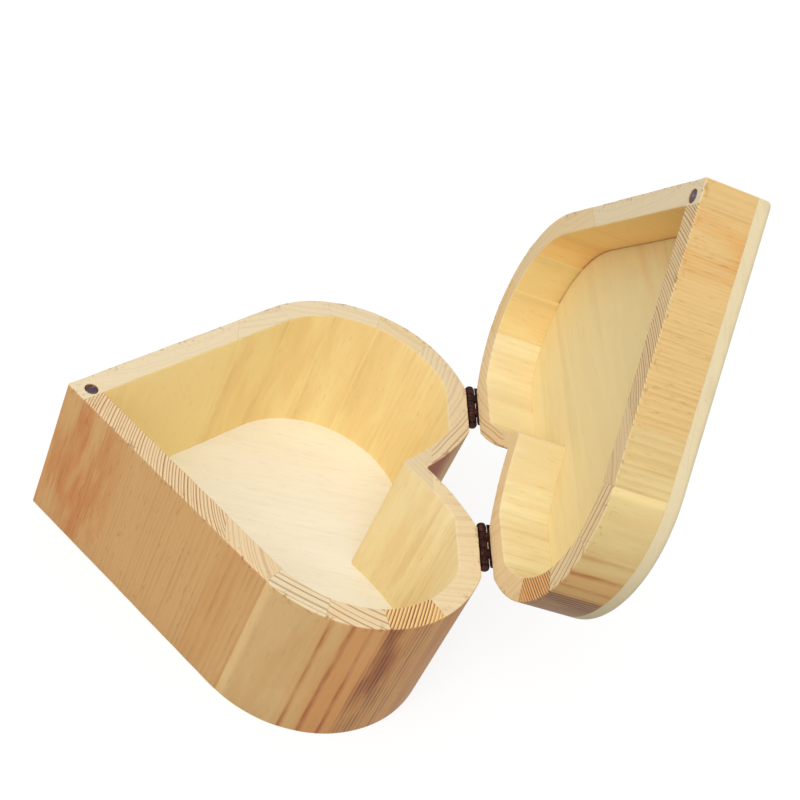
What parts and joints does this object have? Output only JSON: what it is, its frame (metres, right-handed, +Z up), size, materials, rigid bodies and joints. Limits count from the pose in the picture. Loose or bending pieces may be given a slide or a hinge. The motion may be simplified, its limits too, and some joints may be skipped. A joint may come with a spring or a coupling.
{
  "type": "heart-shaped wooden keepsake box",
  "caption": "Heart-shaped pale wood keepsake box with a hinged lid, small dark butt hinges on the back of its lobes and a disc magnet at the tip of each rim.",
  "frame": {"origin": "centre of the flat underside, half way from the tip to the back flats", "axes": "+Z up, tip towards -Y, hinges on +Y, +X to the right seen from the tip"},
  "size_m": [0.1, 0.1212, 0.1339],
  "materials": {
    "pine_block": "bare sanded pine",
    "lid_board": "bare sanded board",
    "floor_board": "bare thin board",
    "hinge_metal": "dark antique bronze",
    "screw_metal": "dark antique bronze",
    "magnet_metal": "dark plated disc"
  },
  "bodies": {
    "base": {"base_floor": "floor_board", "base_left_back_block": "pine_block", "base_left_lobe_block": "pine_block", "base_left_side_block_1": "pine_block", "base_left_side_block_2": "pine_block", "base_left_side_block_3": "pine_block", "base_left_tip_block": "pine_block", "base_magnet": "magnet_metal", "base_notch_block": "pine_block", "base_right_back_block": "pine_block", "base_right_lobe_block": "pine_block", "base_right_side_block_1": "pine_block", "base_right_side_block_2": "pine_block", "base_right_side_block_3": "pine_block", "base_right_tip_block": "pine_block", "left_base_leaf_screws": "screw_metal", "left_hinge_base_leaf": "hinge_metal", "left_hinge_pin": "hinge_metal", "right_base_leaf_screws": "screw_metal", "right_hinge_base_leaf": "hinge_metal", "right_hinge_pin": "hinge_metal"},
    "lid": {"left_hinge_lid_leaf": "hinge_metal", "left_lid_leaf_screws": "screw_metal", "lid_left_back_block": "pine_block", "lid_left_lobe_block": "pine_block", "lid_left_side_block_1": "pine_block", "lid_left_side_block_2": "pine_block", "lid_left_side_block_3": "pine_block", "lid_left_tip_block": "pine_block", "lid_magnet": "magnet_metal", "lid_notch_block": "pine_block", "lid_panel": "lid_board", "lid_right_back_block": "pine_block", "lid_right_lobe_block": "pine_block", "lid_right_side_block_1": "pine_block", "lid_right_side_block_2": "pine_block", "lid_right_side_block_3": "pine_block", "lid_right_tip_block": "pine_block", "right_hinge_lid_leaf": "hinge_metal", "right_lid_leaf_screws": "screw_metal"}
  },
  "joints": [
    {"name": "lid_hinge", "type": "hinge", "parent": "base", "child": "lid", "pos_m": [0, 0.04872, 0.0385], "axis": [-1, 0, 0], "range_deg": [-95, 85]}
  ]
}
